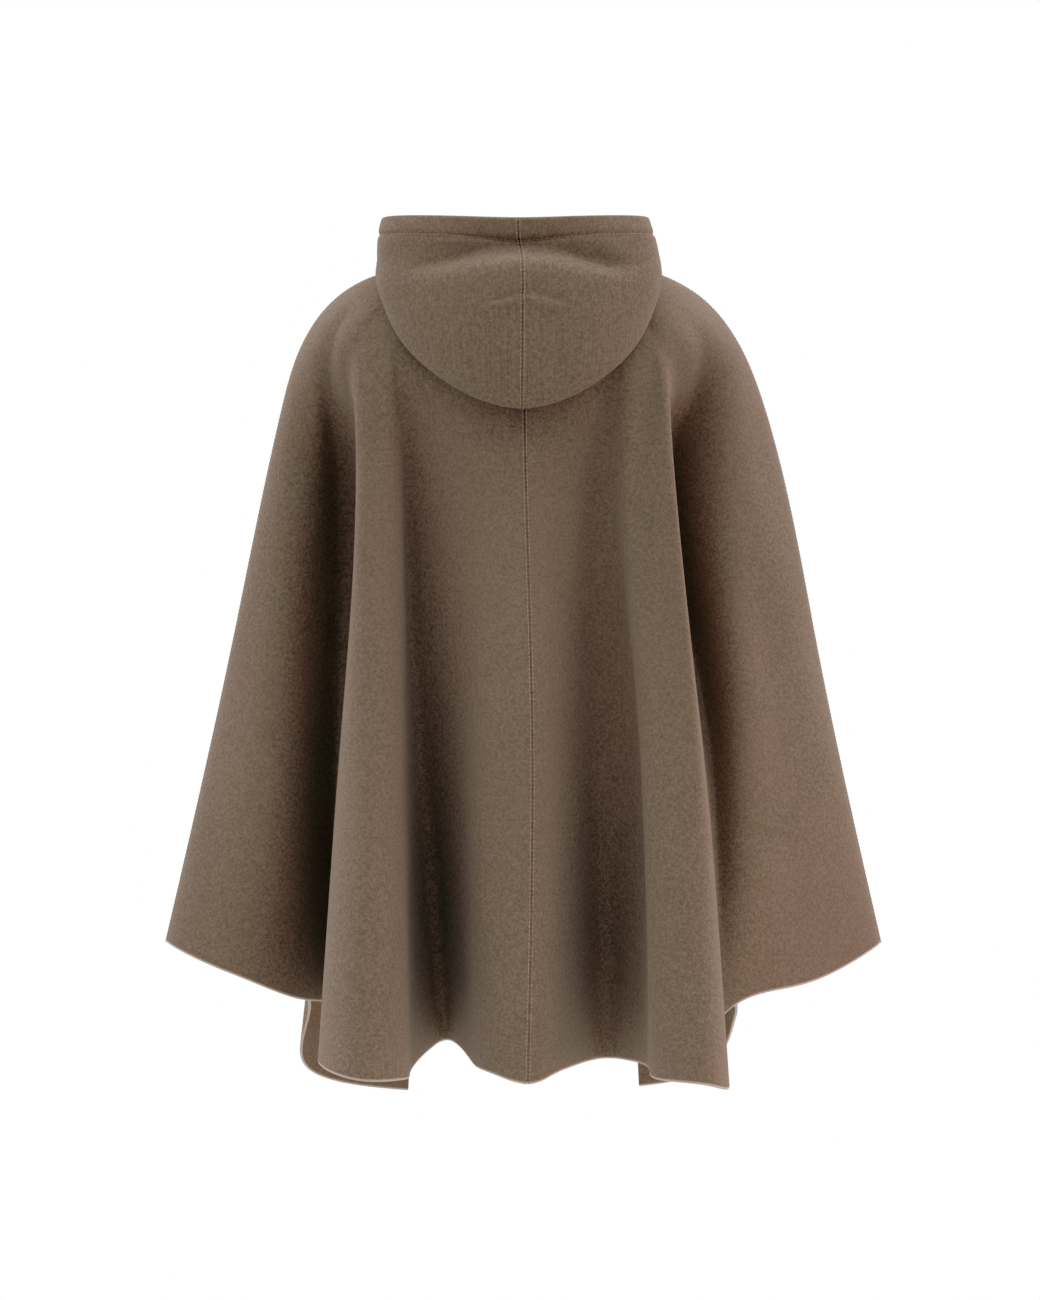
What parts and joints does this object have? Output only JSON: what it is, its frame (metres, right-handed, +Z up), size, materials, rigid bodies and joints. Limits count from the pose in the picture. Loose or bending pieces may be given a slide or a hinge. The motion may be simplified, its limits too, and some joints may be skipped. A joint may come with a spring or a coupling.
{
  "type": "hooded cape",
  "caption": "Hip-length wool cape with a hood lying down the back, wide wing sides and an open front, filled out as worn with no wearer.",
  "frame": {"origin": "middle of the neck, level with the top of the shoulders, where the wearer's shoulders hold the cape", "axes": "+Z up, the open front faces -Y, the back and hood face +Y, the wearer's left is +X"},
  "size_m": [0.7468, 0.4452, 0.935],
  "materials": {
    "wool": "matt, brushed, taupe brown with a fine heather"
  },
  "bodies": {
    "root": {"back_left": "wool", "back_right": "wool", "front_left": "wool", "front_right": "wool", "hood_left": "wool", "hood_right": "wool"}
  },
  "joints": []
}
